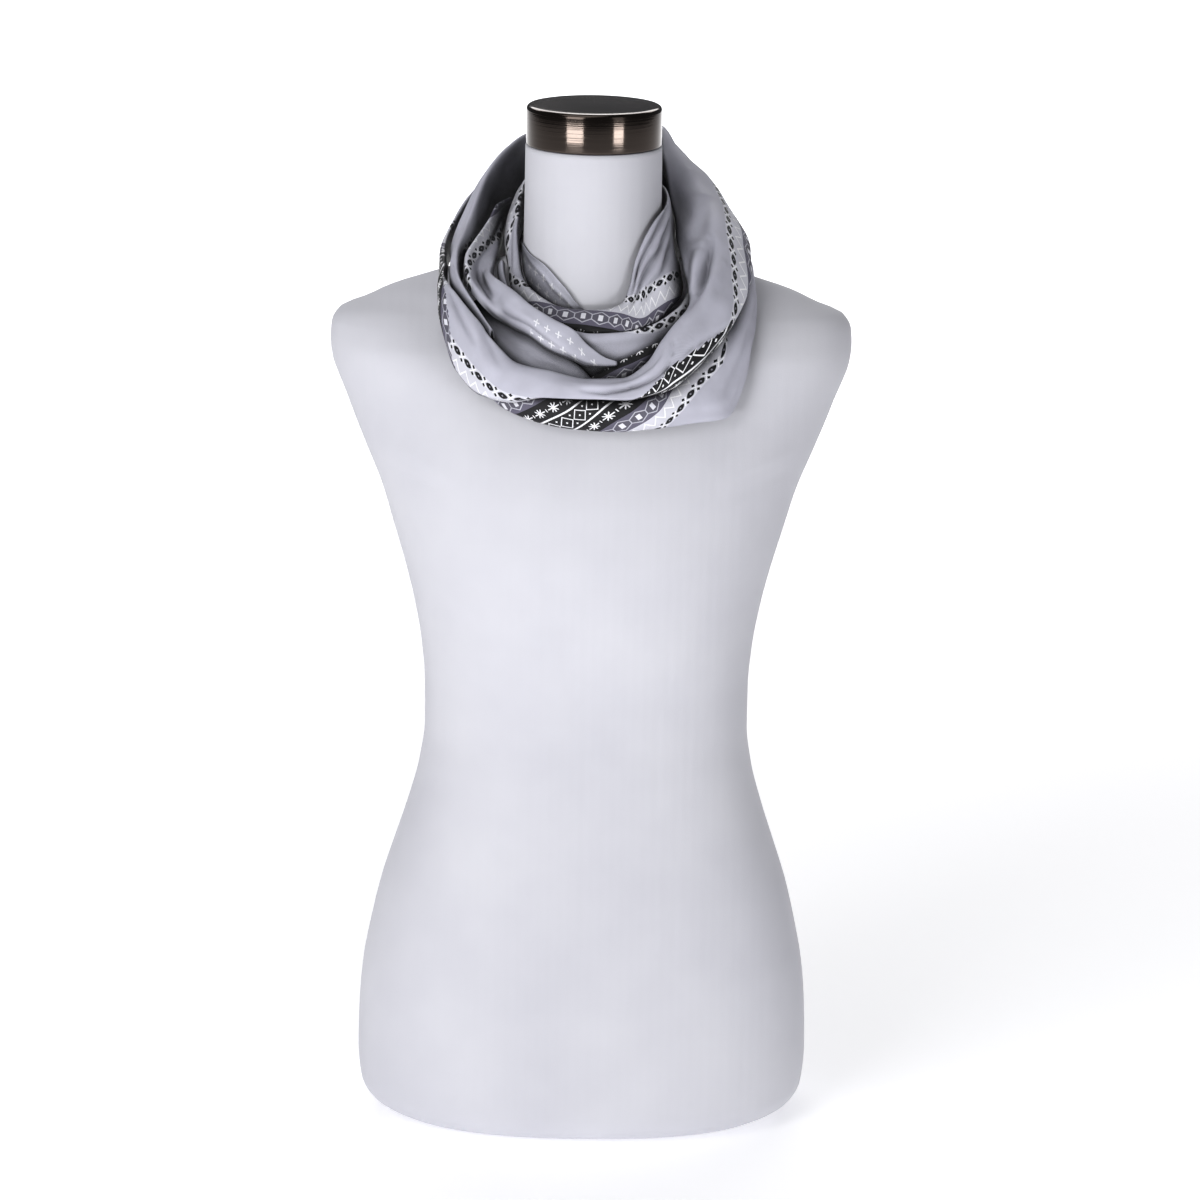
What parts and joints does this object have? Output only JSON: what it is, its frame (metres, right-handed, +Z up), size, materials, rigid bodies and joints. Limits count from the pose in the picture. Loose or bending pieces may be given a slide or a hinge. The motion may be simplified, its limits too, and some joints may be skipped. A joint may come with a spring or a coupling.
{
  "type": "infinity scarf on dress form",
  "caption": "Patterned infinity scarf wound twice round the neck of a white limbless dress form with a gunmetal neck cap, standing on its flat base.",
  "frame": {"origin": "centre of the flat base of the dress form, on the surface it stands on", "axes": "+Z up through the neck, -Y towards the front of the form, +X towards the form's left shoulder"},
  "size_m": [0.38, 0.2398, 0.761],
  "materials": {
    "form_jersey": "matte stretch jersey over foam",
    "cap_gunmetal": "dark polished gunmetal plate",
    "scarf_cloth": "soft satin cotton, silver grey with a printed fair isle band"
  },
  "bodies": {
    "root": {"form_torso": "form_jersey", "neck_cap": "cap_gunmetal", "scarf_hem_turn": "scarf_cloth", "scarf_neck_turn": "scarf_cloth", "scarf_middle_turn": "scarf_cloth", "scarf_inner_turn": "scarf_cloth", "scarf_left_fold": "scarf_cloth", "scarf_under_fold": "scarf_cloth", "scarf_left_fall": "scarf_cloth", "scarf_outer_under": "scarf_cloth", "scarf_outer_turn": "scarf_cloth"}
  },
  "joints": []
}
